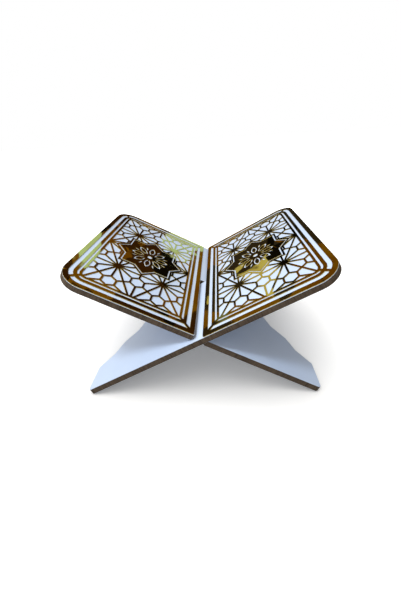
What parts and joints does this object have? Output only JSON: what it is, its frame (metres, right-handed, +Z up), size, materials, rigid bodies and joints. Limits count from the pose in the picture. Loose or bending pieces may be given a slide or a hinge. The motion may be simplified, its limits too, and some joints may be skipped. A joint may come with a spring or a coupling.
{
  "type": "folding book stand",
  "caption": "Folding X-shaped book stand of two slotted white boards with gold mirror lattice panels and star medallions, for holding an open book.",
  "frame": {"origin": "on the floor, under the middle of the crossing of the two boards", "axes": "+X from the left panel to the right panel, +Y from the front to the back, +Z up"},
  "size_m": [0.3728, 0.3048, 0.1981],
  "materials": {
    "mdf_core": "laser-cut MDF edge, brown, fine fibres, matt",
    "white_laminate": "smooth white melamine, satin",
    "gold_mirror": "gold mirror acrylic, laser cut, polished"
  },
  "bodies": {
    "right_board": {"right_board_core": "mdf_core", "right_board_top_laminate": "white_laminate", "right_board_bottom_laminate": "white_laminate", "right_mirror_panel": "gold_mirror", "right_star_medallion": "gold_mirror"},
    "left_board": {"left_board_core": "mdf_core", "left_board_top_laminate": "white_laminate", "left_board_bottom_laminate": "white_laminate", "left_mirror_panel": "gold_mirror", "left_star_medallion": "gold_mirror"}
  },
  "joints": [
    {"name": "board_fold", "type": "hinge", "parent": "right_board", "child": "left_board", "pos_m": [0, 0, 0.09424], "axis": [0, 1, 0], "range_deg": [0, 61]}
  ]
}
